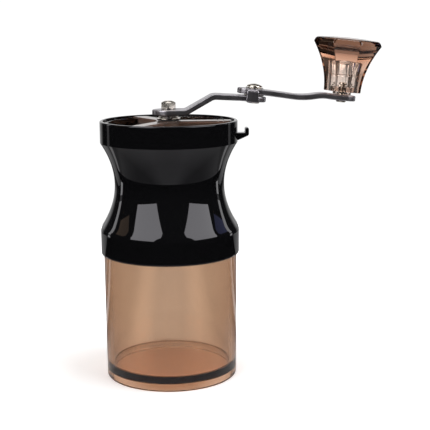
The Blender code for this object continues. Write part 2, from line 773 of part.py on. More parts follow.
def make_knob():
    """Eight-sided flared knob, hollow from below, with a plug that runs on the pin."""
    corner = 1 / math.cos(math.pi / 8)
    flare_end = KNOB_HEIGHT - 2.6 * MM
    rows = 7
    side = []
    for row in range(rows, -1, -1):
        height = flare_end * row / rows
        side.append(((KNOB_FOOT + KNOB_FLARE * (row / rows) ** 2) * corner, height))
    crown = [(0, KNOB_HEIGHT + KNOB_CROWN), (side[0][0] / 2, KNOB_HEIGHT + 0.75 * KNOB_CROWN)]
    rim = (side[0][0] - 0.5 * MM, KNOB_HEIGHT, 1.4 * MM)
    knob = turned(
        "knob",
        [*crown, rim, *side, (0, 0)],
        SMOKE,
        parent=KNOB,
        steps=8,
        closed=False,
    )
    knob.rotation_euler = (0, 0, math.pi / 8 + KNOB_TURN)
    well = drum("knob_well", KNOB_WELL_RADIUS, -2 * MM, KNOB_WELL_DEPTH, parent=KNOB, steps=ROUND_STEPS)
    cut(knob, well)
    pin, boss, plug = 2.0 * MM, 5.2 * MM, KNOB_WELL_RADIUS - GAP
    turned(
        "knob_plug",
        [
            (pin + GAP, 3.0 * MM),
            (plug, 3.0 * MM),
            (plug, 0.1 * MM),
            (boss, 0.1 * MM),
            (boss, -1.6 * MM),
            (pin + GAP, -1.6 * MM),
        ],
        SMOKE,
        parent=KNOB,
        steps=SMALL_STEPS,
    )
    ring("knob_washer", pin + GAP, 5.2 * MM, 3.3 * MM, 3.9 * MM, BRIGHT, parent=KNOB)
    under = -ARM_BELOW_KNOB - OUTER_THICK / 2 - GAP
    turned(
        "knob_pin",
        [
            (0, 5.8 * MM),
            (3.4 * MM, 5.6 * MM, 0.5 * MM),
            (3.4 * MM, 4.2 * MM),
            (pin, 4.2 * MM),
            (pin, under),
            (2.8 * MM, under),
            (2.6 * MM, under - 0.8 * MM, 0.3 * MM),
            (0, under - 0.8 * MM),
        ],
        BRIGHT,
        parent=KNOB,
        steps=SMALL_STEPS,
        closed=False,
    )


def make_grinder():
    make_jar()
    low, high = NECK_TOP + GAP, SKIRT_HIGH - GAP
    ring("jar_seal", 33.6 * MM, 35.8 * MM, low, high, RUBBER, steps=ROUND_STEPS)
    make_shell()
    make_hopper()
    make_bearings()
    make_carrier()
    make_burrs()
    make_grind_setting()
    make_clamp()
    make_spindle()
    make_hub_hardware()
    make_inner_arm()
    make_outer_arm()
    make_fold()
    make_knob()


make_grinder()
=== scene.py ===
# %% [markdown]
# # A hand crank coffee grinder, built around its working frame
# The frame already holds every moving part at its true place. This lesson gives each visible part the
# surface of the real thing: clear smoky plastic, piano black plastic, tumbled steel, white ceramic.
# We model in millimetres, because that is how a toolmaker thinks, and scale down once at the end.

# %% Load the frame
import json
import math

import bmesh
import bpy
from mathutils import Matrix, Vector


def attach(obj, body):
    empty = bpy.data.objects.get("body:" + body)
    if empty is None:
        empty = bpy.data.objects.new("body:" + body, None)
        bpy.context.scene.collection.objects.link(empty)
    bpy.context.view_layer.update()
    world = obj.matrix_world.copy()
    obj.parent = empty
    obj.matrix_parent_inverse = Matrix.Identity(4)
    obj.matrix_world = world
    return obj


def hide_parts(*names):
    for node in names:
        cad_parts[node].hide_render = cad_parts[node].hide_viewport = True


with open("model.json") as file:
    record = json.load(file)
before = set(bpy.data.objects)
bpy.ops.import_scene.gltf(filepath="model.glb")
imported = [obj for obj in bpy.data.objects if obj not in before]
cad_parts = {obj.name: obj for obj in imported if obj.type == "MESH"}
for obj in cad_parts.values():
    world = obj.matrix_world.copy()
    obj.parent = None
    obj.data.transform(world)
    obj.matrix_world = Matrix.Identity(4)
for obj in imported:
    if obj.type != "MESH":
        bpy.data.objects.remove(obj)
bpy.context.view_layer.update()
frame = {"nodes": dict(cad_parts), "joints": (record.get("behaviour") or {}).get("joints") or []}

# %% [markdown]
# The spindle, the fold of the crank and the knob's pin each lean their own way. A matrix for each one
# lets us draw a part as if it stood upright, and lay it in place at the end. The joints of the frame
# say where those axes are, so nothing here is measured twice.

# %% Axes of the grinder
MM = 0.001


def joint(name):
    return next(entry for entry in frame["joints"] if entry["name"] == name)


def axis_frame(name, at_table=False):
    """Millimetres in, metres out: Z runs along the joint's axis, and zero is on the joint or the table."""
    place = Vector(joint(name)["pos_m"])
    if at_table:
        place.z = 0.0
    lean = Vector((0, 0, 1)).rotation_difference(Vector(joint(name)["axis"]))
    return Matrix.Translation(place) @ lean.to_matrix().to_4x4() @ Matrix.Scale(MM, 4)


UPRIGHT = axis_frame("crank_spin", at_table=True)
FOLD = axis_frame("arm_fold")
KNOB = axis_frame("knob_spin")
fold_in_mm = UPRIGHT.inverted() @ FOLD
knob_in_mm = UPRIGHT.inverted() @ KNOB
print("fold pivot", [round(value, 2) for value in fold_in_mm.translation], "mm from the spindle's foot")

# %% [markdown]
# ## Finishes
# Every finish is a small node tree. A helper makes the Principled shader and gives it the two things that
# no moulded or tumbled surface lacks: a roughness that wanders a little, and, where one is asked for, a very shallow
# bump.

# %% A finish with wandering roughness and a fine bump


def finish(name, color, rough, grain, bump=0.0, patches=0.006, **fixed):
    """color is linear; rough is (least, most); grain is the size in metres of the finest bumps."""
    material = bpy.data.materials.new(name)
    material.use_nodes = True
    nodes, links = material.node_tree.nodes, material.node_tree.links
    shader = nodes["Principled BSDF"]
    shader.inputs["Base Color"].default_value = (*color, 1)
    for socket, value in fixed.items():
        shader.inputs[socket.replace("_", " ")].default_value = value
    place = nodes.new("ShaderNodeTexCoord").outputs["Object"]
    cloud = nodes.new("ShaderNodeTexNoise")
    cloud.inputs["Scale"].default_value = 1 / patches
    cloud.inputs["Detail"].default_value = 6
    span = nodes.new("ShaderNodeMapRange")
    span.inputs["From Min"].default_value, span.inputs["From Max"].default_value = 0.35, 0.7
    span.inputs["To Min"].default_value, span.inputs["To Max"].default_value = rough
    links.new(place, cloud.inputs["Vector"])
    links.new(cloud.outputs["Fac"], span.inputs["Value"])
    links.new(span.outputs["Result"], shader.inputs["Roughness"])
    if bump:
        fine = nodes.new("ShaderNodeTexNoise")
        fine.inputs["Scale"].default_value = 1 / grain
        fine.inputs["Detail"].default_value = 3
        raised = nodes.new("ShaderNodeBump")
        raised.inputs["Distance"].default_value = bump
        raised.inputs["Strength"].default_value = 1.0
        links.new(place, fine.inputs["Vector"])
        links.new(fine.outputs["Fac"], raised.inputs["Height"])
        links.new(raised.outputs["Normal"], shader.inputs["Normal"])
    return material


# %% [markdown]
# Clear plastic gets its colour from its depth and not from its skin, so the dye is a Volume Absorption.
# That is why a thin wall looks tan while the edge of the thick floor looks nearly black. Lamps can't
# reach through a bending surface without a great many samples, so light on its way to a lamp takes the
# straight way through, and only the dye dims it.

# %% Clear plastic


def clear_plastic(name, dye, density, rough, ior, skin=(1, 1, 1), clear=1.0):
    """dye is the colour that is left of white light, per channel; density is in one over metres.

    A clear share under one leaves the rest to scatter off the skin, which gives a paler copy of the same plastic.
    """
    material = finish(name, skin, rough, 0.004, 0.0, IOR=ior, Transmission_Weight=clear)
    nodes, links = material.node_tree.nodes, material.node_tree.links
    output, shader = nodes["Material Output"], nodes["Principled BSDF"]
    straight = nodes.new("ShaderNodeBsdfTransparent")
    straight.inputs["Color"].default_value = (0.92, 0.92, 0.92, 1)
    rays, choice = nodes.new("ShaderNodeLightPath"), nodes.new("ShaderNodeMixShader")
    inside = nodes.new("ShaderNodeVolumeAbsorption")
    inside.inputs["Color"].default_value = (*dye, 1)
    inside.inputs["Density"].default_value = density
    links.new(rays.outputs["Is Shadow Ray"], choice.inputs["Fac"])
    links.new(shader.outputs["BSDF"], choice.inputs[1])
    links.new(straight.outputs["BSDF"], choice.inputs[2])
    links.new(choice.outputs["Shader"], output.inputs["Surface"])
    links.new(inside.outputs["Volume"], output.inputs["Volume"])
    return material


SMOKE_JAR = clear_plastic("smoke_jar", (0.665, 0.37, 0.08), 205, (0.0, 0.02), 1.52)
SMOKE_FUNNEL = clear_plastic("smoke_funnel", (0.64, 0.36, 0.12), 330, (0.08, 0.16), 1.55)
# Spokes and hub: the same plastic with a pale scattering skin, as painted light.
SMOKE_SPOKE_PAINTED_LIGHT = clear_plastic("smoke_spoke_painted_light", (0.64, 0.36, 0.12), 330, (0.08, 0.16), 1.55, (0.42, 0.33, 0.29), 0.75)
SMOKE_KNOB = clear_plastic("smoke_knob", (0.62, 0.44, 0.32), 112, (0.0, 0.015), 1.52)
print("clear plastics ready")

# %% [markdown]
# The body is black plastic polished like a piano. The arms are cut from bar and tumbled with stones until
# their edges go soft, which leaves a satin skin with faint dimples. The small hardware is bright plated.

# %% Opaque plastic, steel and ceramic
PIANO = finish("piano_black", (0.0035, 0.0035, 0.004), (0.015, 0.05), 0.002, 0.0, IOR=1.48,
               Specular_Tint=(0.96, 0.94, 1.0, 1.0))
NYLON = finish("black_nylon", (0.022, 0.022, 0.024), (0.36, 0.52), 0.0004, 0.00002)
SATIN = finish("tumbled_steel", (0.44, 0.42, 0.45), (0.28, 0.35), 0.0012, 0.000006, 0.008, Metallic=1.0)
NUT_PLATE = finish("soft_plate", (0.74, 0.69, 0.62), (0.26, 0.34), 0.0012, 0.000006, 0.004, Metallic=1.0)
BRIGHT = finish("bright_plate", (0.72, 0.66, 0.58), (0.06, 0.16), 0.0012, 0.000006, 0.003, Metallic=1.0)
CERAMIC = finish("white_ceramic", (0.80, 0.78, 0.72), (0.28, 0.42), 0.0006, 0.00002)
SILICONE = finish("grey_silicone", (0.30, 0.28, 0.27), (0.5, 0.62), 0.0008, 0.00002)
print("opaque finishes ready")

# %% [markdown]
# ## Tools of the bench
# `piece` turns a bmesh into a finished object: it lays the mesh in the grinder's frame, shades it, hangs it
# on the body that carries it and hides the frame nodes that it stands for. Weighted normals keep long flat walls
# flat next to their rounded corners, which matters most where light bends.

# %% From bmesh to finished piece


def piece(name, shape, place, finish_, body, slot, *nodes, sharp=32):
    mesh = bpy.data.meshes.new(name)
    shape.transform(place)
    if place.determinant() < 0:
        bmesh.ops.reverse_faces(shape, faces=shape.faces)
    shape.to_mesh(mesh)
    shape.free()
    mesh.materials.append(finish_)
    mesh.shade_smooth()
    mesh.set_sharp_from_angle(angle=math.radians(sharp))
    thing = bpy.data.objects.new(name, mesh)
    bpy.context.scene.collection.objects.link(thing)
    weigh = thing.modifiers.new("weighted_normals", "WEIGHTED_NORMAL")
    weigh.keep_sharp = True
    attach(thing, body)
    if nodes:
        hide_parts(*nodes)
    print(f"{name}: {len(mesh.polygons)} faces on {body}")
    return thing


# %% [markdown]
# Most of the grinder is turned. A profile is a loop of corners, each with its radius and height and, where
# the tool would leave one, a rounding. Bevelling the corners of the wire rounds them before the spin.

# %% Turned parts


def wire(corners, closed=True):
    """A profile in the XZ plane from (x, z) or (x, z, rounding) corners."""
    shape = bmesh.new()
    points = [shape.verts.new((corner[0], 0, corner[1])) for corner in corners]
    pairs = list(zip(points, points[1:])) + ([(points[-1], points[0])] if closed else [])
    for start, end in pairs:
        if start.co.x > 0 or end.co.x > 0 or start.co.z == end.co.z:
            shape.edges.new((start, end))
    for point, corner in zip(points, corners):
        if len(corner) > 2:
            bmesh.ops.bevel(shape, geom=[point], offset=corner[2], offset_type="OFFSET", segments=6,
                            profile=0.5, affect="VERTICES", material=-1, clamp_overlap=False)
    return shape


def turned(corners, steps=128):
    shape = wire(corners)
    bmesh.ops.spin(shape, geom=shape.verts[:] + shape.edges[:], cent=(0, 0, 0), axis=(0, 0, 1),
                   angle=math.tau, steps=steps, use_merge=True)
    bmesh.ops.remove_doubles(shape, verts=shape.verts, dist=0.0005)
    bmesh.ops.recalc_face_normals(shape, faces=shape.faces)
    return shape


def washer(inner, outer, low, high, edge=0.12, steps=64):
    return turned([(inner, high, edge), (outer, high, edge), (outer, low, edge), (inner, low, edge)], steps)


def rod(radius, low, high, at=(0, 0), steps=48):
    shape = bmesh.new()
    middle = Matrix.Translation((*at, (low + high) / 2))
    bmesh.ops.create_cone(shape, cap_ends=True, segments=steps, radius1=radius, radius2=radius,
                          depth=high - low, matrix=middle)
    return shape


# %% [markdown]
# Flat stock is an outline with a thickness. The outline is one face, pushed through the stock, and its
# long edges are bevelled the way tumbling or a moulding draft would soften them.

# %% Flat stock


def stock(corners, thickness, edge=0.0, segments=3):
    """An outline in the XZ plane, pushed out along Y by its thickness, centred on Y = 0."""
    shape = wire(corners)
    bmesh.ops.contextual_create(shape, geom=shape.edges[:])
    bmesh.ops.translate(shape, verts=shape.verts, vec=(0, -thickness / 2, 0))
    pushed = bmesh.ops.extrude_face_region(shape, geom=shape.faces[:])
    moved = [item for item in pushed["geom"] if isinstance(item, bmesh.types.BMVert)]
    bmesh.ops.translate(shape, verts=moved, vec=(0, thickness, 0))
    bmesh.ops.recalc_face_normals(shape, faces=shape.faces)
    if edge:
        rims = [line for line in shape.edges if abs(line.verts[0].co.y - line.verts[1].co.y) < 0.001]
        bmesh.ops.bevel(shape, geom=rims, offset=edge, segments=segments, profile=0.5, affect="EDGES",
                        material=-1, clamp_overlap=True)
    return shape


def block(low, high, turn=0.0, edge=0.0):
    shape = bmesh.new()
    low, high = Vector(low), Vector(high)
    size = Matrix.Diagonal((*(high - low), 1))
    bmesh.ops.create_cube(shape, size=1, matrix=Matrix.Translation((low + high) / 2) @ size)
    if edge:
        bmesh.ops.bevel(shape, geom=shape.edges[:], offset=edge, segments=3, profile=0.5, affect="EDGES",
                        material=-1)
    bmesh.ops.rotate(shape, verts=shape.verts, matrix=Matrix.Rotation(turn, 3, "Z"))
    return shape


# %% [markdown]
# Parts that are moulded in one are drawn as simple solids and made one with an exact Boolean. The helper
# does it on throwaway objects, so that the finished piece carries no cutters.

# %% Joining and cutting


def combined(how, base, *tools):
    """base joined with or cut by the tools, as a new bmesh; all of them are used up."""
    def throwaway(shape):
        mesh = bpy.data.meshes.new("throwaway")
        shape.to_mesh(mesh)
        shape.free()
        thing = bpy.data.objects.new("throwaway", mesh)
        bpy.context.scene.collection.objects.link(thing)
        return thing

    body = throwaway(base)
    others = [throwaway(tool) for tool in tools]
    for other in others:
        step = body.modifiers.new("step", "BOOLEAN")
        step.operation, step.solver, step.object = how, "EXACT", other
    bpy.context.view_layer.update()
    result = bmesh.new()
    result.from_object(body, bpy.context.evaluated_depsgraph_get())
    for thing in (body, *others):
        bpy.data.objects.remove(thing, do_unlink=True)
    return result


def around(count, start=0.0):
    return [start + math.tau * index / count for index in range(count)]


# %% [markdown]
# ## The jar
# The jar is injection moulded: a straight wall, a thick floor held up by an open foot ring, and a
# threaded neck. It could be a cylinder with Solidify, but the floor and the wall differ in thickness,
# so one closed profile says it better. Its thread is a ridge spun up a helix.

# %% Thread
THREAD_PITCH, THREAD_TURNS, THREAD_START = 5.0, 1.25, 75.3


def thread(root, crest, start, steps=96):
    """A ridge that climbs one pitch a turn, drawn from its root radius to its crest."""
    shape = wire([(root, start - 0.8), (crest, start - 0.4, 0.2), (crest, start + 0.4, 0.2), (root, start + 0.8)])
    bmesh.ops.contextual_create(shape, geom=shape.edges[:])
    bmesh.ops.spin(shape, geom=shape.faces[:] + shape.edges[:] + shape.verts[:], cent=(0, 0, 0),
                   axis=(0, 0, 1), dvec=(0, 0, THREAD_PITCH / steps), angle=math.tau * THREAD_TURNS,
                   steps=int(steps * THREAD_TURNS))
    bmesh.ops.holes_fill(shape, edges=[edge for edge in shape.edges if edge.is_boundary])
    bmesh.ops.recalc_face_normals(shape, faces=shape.faces)
    return shape


# %% Jar
JAR_RADIUS, JAR_DRAFT, JAR_WALL, FLOOR_LOW, FLOOR_HIGH, FOOT_WALL = 37.95, 0.4, 3.8, 3.9, 7.9, 3.4
NECK_RADIUS, NECK_BORE, NECK_TOP, SHOULDER = 35.9, 33.3, 85.0, 73.8
jar_inside = JAR_RADIUS - JAR_WALL
foot_bore = JAR_RADIUS - FOOT_WALL
jar_shape = turned([
    (NECK_BORE, NECK_TOP, 0.5), (NECK_RADIUS, NECK_TOP, 0.5), (NECK_RADIUS, SHOULDER, 0.3),
    (JAR_RADIUS + JAR_DRAFT, SHOULDER, 0.5), (JAR_RADIUS, 0, 0.7), (foot_bore, 0, 0.5), (foot_bore, FLOOR_LOW, 0.6),
    (0, FLOOR_LOW), (0, FLOOR_HIGH), (jar_inside, FLOOR_HIGH, 1.3), (jar_inside + JAR_DRAFT, SHOULDER - 1.7, 0.4),
    (NECK_BORE, SHOULDER + 0.6, 0.4),
], steps=160)
jar_shape = combined("UNION", jar_shape, thread(NECK_RADIUS - 0.4, NECK_RADIUS + 0.75, THREAD_START))
piece("jar_body", jar_shape, UPRIGHT, SMOKE_JAR, "jar", "smoke_clear", "jar")

# %% [markdown]
# ## The body
# One glossy moulding: a skirt that screws over the jar, a waist that fits the hand, a rim band with a crisp
# lower edge, and a hook for a cord. The waist is a parabola, so a few driving sizes give the whole curve.
# The wall is 2.3 mm and the inside follows the outside.

# %% Body
SKIRT_RADIUS, SKIRT_LOW, SKIRT_HIGH, SKIRT_BORE = 39.82, 72.1, 87.1, 36.95
RIM_RADIUS, RIM_LOW, RIM_HIGH, LIP_BORE = 39.1, 136.2, 148.5, 37.3
WAIST_RADIUS, WAIST_Z, WAIST_CURVE, SHELL_WALL = 31.32, 112.2, 37.0, 2.3
BULKHEAD_LOW, BULKHEAD_HIGH, BULKHEAD_BORE = 90.0, 92.4, 21.8
SCREWS_AT, SCREW_HOLE = 23.6, 1.45


def waist(low, high, count, inset=0.0):
    heights = [low + (high - low) * index / (count - 1) for index in range(count)]
    return [(WAIST_RADIUS + (z - WAIST_Z) ** 2 / (2 * WAIST_CURVE) - inset, z) for z in heights]


outside = [(LIP_BORE, RIM_HIGH, 0.25), (RIM_RADIUS, RIM_HIGH, 0.7), *waist(RIM_LOW, 89.4, 40)]
skirt = [
    (SKIRT_RADIUS, SKIRT_HIGH - 0.4, 1.6), (SKIRT_RADIUS, SKIRT_LOW, 1.0), (SKIRT_RADIUS - 1.15, SKIRT_LOW),
    (SKIRT_RADIUS - 1.15, SKIRT_LOW + 2), (SKIRT_BORE, SKIRT_LOW + 2, 0.2), (SKIRT_BORE, SKIRT_HIGH),
    (31.0, SKIRT_HIGH), (31.0, BULKHEAD_LOW), (BULKHEAD_BORE, BULKHEAD_LOW), (BULKHEAD_BORE, BULKHEAD_HIGH),
]
inside = waist(BULKHEAD_HIGH, RIM_LOW + 0.6, 24, SHELL_WALL)
shell_shape = turned(outside + skirt + inside + [(LIP_BORE, RIM_LOW + 0.6)], steps=160)
hook_shape = stock([
    (37.9, 141.0), (43.4, 141.0, 0.7), (43.4, 143.9, 0.9), (45.5, 143.9, 0.9), (45.5, 139.6, 0.9),
    (39.4, 136.9), (37.9, 136.9),
], 7.0, 0.5)
female_thread = thread(SKIRT_BORE + 0.4, SKIRT_BORE - 0.75, THREAD_START + THREAD_PITCH / 2)
shell_shape = combined("UNION", shell_shape, hook_shape, female_thread)
screw_spots = [(SCREWS_AT * math.cos(turn), SCREWS_AT * math.sin(turn)) for turn in around(3)]
shell_shape = combined("DIFFERENCE", shell_shape, *[rod(SCREW_HOLE, 89, 93.4, spot, 24) for spot in screw_spots])
piece("shell", shell_shape, UPRIGHT, PIANO, "body", "black_gloss", "body_shell")

# %% [markdown]
# ## The hopper insert
# Beans are poured between three spokes that carry the upper bearing. Ring, spokes, hub and funnel are one
# clear brown moulding. It sits in the black shell, so almost no light comes back through it and it reads
# as dark, with pale top edges. The spokes and the hub take a paler, partly scattering copy of the same
# plastic: painted light on their faces. Two fine parting marks cross the spoke on the hook's side.

# %% Hopper insert
HUB_FLANGE, HUB_RADIUS, HUB_LOW, SPOKE_TOP, SPOKE_WIDTH, SPOKE_THICK, RING_TOP = 7.2, 6.3, 139.5, 148.2, 7.6, 1.3, 147.4
funnel = turned([
    (34.4, RING_TOP, 0.4), (36.8, RING_TOP, 0.4), (36.8, RIM_LOW + 0.9, 0.3), (35.0, RIM_LOW + 0.9, 0.6),
    (27.6, 124.0, 3.0), (22.6, 103.3, 0.3), (20.9, 103.3, 0.3), (25.8, 124.0, 3.0), (34.4, 140.6, 1.0),
], steps=128)
flange_low, plate_top = SPOKE_TOP - SPOKE_THICK, SPOKE_TOP - 0.1
hub = turned([(0, SPOKE_TOP), (HUB_FLANGE, SPOKE_TOP, 0.3), (HUB_FLANGE, flange_low, 0.15), (HUB_RADIUS, flange_low),
              (HUB_RADIUS, HUB_LOW, 0.5), (0, HUB_LOW)], 72)
spokes = []
for turn in around(3):
    spokes.append(block((HUB_RADIUS - 1, -SPOKE_WIDTH / 2, plate_top - SPOKE_THICK),
                        (35.6, SPOKE_WIDTH / 2, plate_top), turn, 0.25))
    spokes.append(block((HUB_RADIUS - 1, -1.2, plate_top - 4.4), (35.4, 1.2, plate_top - 0.5), turn, 0.2))
hopper_shape = combined("UNION", funnel, combined("UNION", hub, *spokes))
marks = [block((at, -5, SPOKE_TOP - 0.55), (at + 0.5, 5, SPOKE_TOP + 1)) for at in (27.8, 30.9)]
hopper_shape = combined("DIFFERENCE", hopper_shape, rod(4.7, HUB_LOW - 1, SPOKE_TOP + 1, steps=64), *marks)
insert = piece("hopper_insert", hopper_shape, UPRIGHT, SMOKE_FUNNEL, "body", "smoke_insert", "hopper")
# The faces of the spokes and the hub take the paler copy: painted light.
insert.data.materials.append(SMOKE_SPOKE_PAINTED_LIGHT)
for face in insert.data.polygons:
    place = (UPRIGHT.inverted() @ face.center)
    if place.z > HUB_LOW - 0.1 and place.xy.length < 33.8:
        face.material_index = 1

# %% [markdown]
# ## Spindle and hub
# The steel spindle runs in plain bushes. A washer and a spring clip stop it from dropping, and a thin
# collar spaces the crank from the clip. These are small turned parts, so each is one short profile.

# %% Spindle, bushes and hub hardware
SPINDLE_RADIUS, SCREW_RADIUS, ARM_TOP, INNER_THICK = 3.0, 2.2, 154.5, 3.0
spindle_shape = turned([
    (0, 158.2), (SCREW_RADIUS, 158.2, 0.4), (SCREW_RADIUS, 154.3), (SPINDLE_RADIUS, 154.3, 0.15),
    (SPINDLE_RADIUS, 150.75), (2.3, 150.75), (2.3, 149.65), (SPINDLE_RADIUS, 149.65),
    (SPINDLE_RADIUS, 88.0), (SCREW_RADIUS, 86.0), (SCREW_RADIUS, 75.2, 0.4), (0, 75.2),
], 64)
flats = [block((-4, side * 3.2 - 0.8, 151.2), (4, side * 3.2 + 0.8, 155.6)) for side in (-1, 1)]
flats += [block((side * 3.15 - 0.85, -4, 87), (side * 3.15 + 0.85, 4, 96.5)) for side in (-1, 1)]
flats += [block((-4, side * 3.15 - 0.85, 86.9), (4, side * 3.15 + 0.85, 96.6)) for side in (-1, 1)]
piece("spindle_shaft", combined("DIFFERENCE", spindle_shape, *flats), UPRIGHT, SATIN, "crank", "satin_steel",
      "spindle")
clip_shape = washer(2.6, 5.6, 149.9, 150.5, 0.1)
mouth = block((-1.9, -8, 149), (1.9, 0, 151))
notches = [rod(1.3, 149, 151, (4.0 * math.cos(turn), 4.0 * math.sin(turn)), 24) for turn in (0.15, math.pi - 0.15)]
clip_shape = combined("DIFFERENCE", clip_shape, mouth, *notches)
piece("clip", clip_shape, UPRIGHT, BRIGHT, "crank", "bright_steel", "spindle_clip")
piece("thrust_washer", washer(3.4, 6.9, 149.2, 149.6), UPRIGHT, BRIGHT, "body", "bright_steel", "hub_washer")
piece("collar", washer(3.1, 5.2, 150.8, 151.2), UPRIGHT, NYLON, "crank", "black_nylon", "arm_collar")
bush = turned([(3.1, 148.9, 0.2), (6.4, 148.9, 0.2), (6.4, 148.5, 0.1), (4.4, 148.5), (4.4, 140.2, 0.2),
               (3.1, 140.2, 0.2)], 64)
piece("top_bush", bush, UPRIGHT, NYLON, "body", "black_nylon", "upper_bush")

# %% [markdown]
# The cap nut is a hexagon bar with its top turned to a low dome, so it is made the way a lathe makes it:
# a six-sided bar, kept only where the turned form is. Its point faces the front of the grinder.

# %% Cap nut and its washer
NUT_LOW, NUT_HIGH, NUT_FLATS = 155.5, 159.4, 8.0
bar = rod(NUT_FLATS / 2 / math.cos(math.pi / 6), NUT_LOW, NUT_HIGH + 1, steps=6)
uprights = [edge for edge in bar.edges if abs(edge.verts[0].co.z - edge.verts[1].co.z) > 1]
bmesh.ops.bevel(bar, geom=uprights, offset=0.22, segments=3, profile=0.5, affect="EDGES", material=-1)
dome = turned([(0, NUT_HIGH), (2.3, NUT_HIGH, 0.6), (4.35, NUT_HIGH - 1.1, 0.7), (4.7, NUT_HIGH - 2.2),
               (4.7, NUT_LOW + 0.4, 0.1), (4.25, NUT_LOW), (0, NUT_LOW)], 96)
nut_shape = combined("INTERSECT", bar, dome)
nut_shape = combined("DIFFERENCE", nut_shape, rod(2.5, NUT_LOW - 1, 158.5, steps=32))
piece("domed_nut", nut_shape, UPRIGHT, NUT_PLATE, "crank", "bright_steel", "cap_nut", sharp=24)
piece("spring_washer", washer(2.5, 4.3, 154.8, 155.2), UPRIGHT, BRIGHT, "crank", "bright_steel",
      "nut_washer")

# %% [markdown]
# ## The folding crank
# Each arm is a flat blank with round ends. Tumbling rounds its edges, and a press then bends it. We work
# in the same order: blank, soft edges, then a bend that moves every point onto a line drawn in side view.
# The blank is first cut across at short steps, so that it can bend.

# %% Blanks and bends


def arm_blank(left, left_radius, right, right_radius, thickness, edge=0.6):
    """A flat bar between two round ends, its middle plane at zero height."""
    shape = bmesh.new()
    bmesh.ops.create_circle(shape, cap_ends=True, segments=72, radius=1)
    for point in shape.verts:
        at_right = point.co.x > -0.001
        radius, centre = (right_radius, right) if at_right else (left_radius, left)
        point.co = (centre + radius * point.co.x, radius * point.co.y, -thickness / 2)
    pushed = bmesh.ops.extrude_face_region(shape, geom=shape.faces[:])
    moved = [item for item in pushed["geom"] if isinstance(item, bmesh.types.BMVert)]
    bmesh.ops.translate(shape, verts=moved, vec=(0, 0, thickness))
    bmesh.ops.recalc_face_normals(shape, faces=shape.faces)
    rims = [line for line in shape.edges if abs(line.verts[0].co.z - line.verts[1].co.z) < 0.001]
    bmesh.ops.bevel(shape, geom=rims, offset=edge, segments=4, profile=0.5, affect="EDGES", material=-1)
    return shape


def bent(shape, corners, step=0.8):
    """Lay a flat blank along a line of (x, z, rounding) corners in side view."""
    line = wire(corners, closed=False)
    for _ in range(2):
        bmesh.ops.subdivide_edges(line, edges=[edge for edge in line.edges if edge.calc_length() > step], cuts=4)
    path = sorted((point.co.x, point.co.z) for point in line.verts)
    line.free()
    for x, _ in path:
        bmesh.ops.bisect_plane(shape, geom=shape.verts[:] + shape.edges[:] + shape.faces[:], dist=0.0001,
                               plane_co=(x, 0, 0), plane_no=(1, 0, 0))
    slopes = [math.atan2(b[1] - a[1], b[0] - a[0]) for a, b in zip(path, path[1:])]
    leans = [slopes[0]] + [(a + b) / 2 for a, b in zip(slopes, slopes[1:])] + [slopes[-1]]
    for point in shape.verts:
        index = max(0, min(len(path) - 2, sum(x <= point.co.x for x, _ in path) - 1))
        share = (point.co.x - path[index][0]) / (path[index + 1][0] - path[index][0])
        height = path[index][1] + share * (path[index + 1][1] - path[index][1])
        lean = leans[index] + share * (leans[index + 1] - leans[index])
        lift = point.co.z
        point.co.x -= lift * math.sin(lean)
        point.co.z = height + lift * math.cos(lean)
    return shape


def along(axis, distance, lift=0.0):
    """A point in side view, a distance along a leaning joint's plane and a lift above it."""
    point = axis @ Vector((distance, 0, lift))
    return point.x, point.z


# %% Inner arm
PAD_RADIUS, EYE_RADIUS, INNER_DROP = 9.3, 7.0, 0.2
pad = ARM_TOP - INNER_THICK / 2
inner_shape = arm_blank(0, PAD_RADIUS, fold_in_mm.translation.x, EYE_RADIUS, INNER_THICK)
inner_shape = bent(inner_shape, [
    (-12, pad), (9.6, pad, 1.0), (25.2, 161.75, 1.6), (*along(fold_in_mm, -7.3, -INNER_DROP), 2.0),
    along(fold_in_mm, 9, -INNER_DROP),
])
fold_bore = rod(2.5, -4, 4)
bmesh.ops.transform(fold_bore, matrix=fold_in_mm, verts=fold_bore.verts)
drive_bore = combined("INTERSECT", rod(3.3, ARM_TOP - 5, ARM_TOP + 2),
                      block((-5, -2.7, ARM_TOP - 6), (5, 2.7, ARM_TOP + 3)))
inner_shape = combined("DIFFERENCE", inner_shape, fold_bore, drive_bore)
piece("lower_link", inner_shape, UPRIGHT, SATIN, "crank", "satin_steel", "inner_arm", sharp=40)

# %% [markdown]
# The outer arm folds back over the inner one. A tab at its front edge is bent down past the inner arm and
# stops it when it is straight. The tab is a short strap, rounded where the press bent it.

# %% Outer arm
OUTER_THICK, OUTER_HALF, OUTER_LIFT, BELOW_KNOB = 3.1, 5.8, 3.9, 3.45
hinge_x = along(fold_in_mm, 0, OUTER_LIFT)[0]
outer_shape = arm_blank(hinge_x - 9.6 + OUTER_HALF, OUTER_HALF, 106.4 - OUTER_HALF, OUTER_HALF, OUTER_THICK)
outer_shape = bent(outer_shape, [
    along(fold_in_mm, -12, OUTER_LIFT), (*along(fold_in_mm, 5.6, OUTER_LIFT), 4.0), (76.0, 160.5, 5.0),
    (*along(knob_in_mm, -11.0, 0.45 - BELOW_KNOB), 3.0), (*along(knob_in_mm, -6.5, -BELOW_KNOB), 3.0),
    along(knob_in_mm, 10, -BELOW_KNOB),
])
tab_top, tab_in, tab_out = OUTER_LIFT + OUTER_THICK / 2, EYE_RADIUS + 0.35, EYE_RADIUS + 2.35
tab_shape = stock([
    (1, tab_top - 0.3), (tab_out, tab_top - 0.3, 1.7), (tab_out, -2.0, 0.6), (tab_in, -2.0, 0.5),
    (tab_in, tab_top - 2.3, 0.5), (1, tab_top - 2.3),
], 6.6, 0.8, 4)
bmesh.ops.translate(tab_shape, verts=tab_shape.verts, vec=(0, -1.3, 0))
turn_front = Matrix.Rotation(-math.pi / 2, 4, "Z")
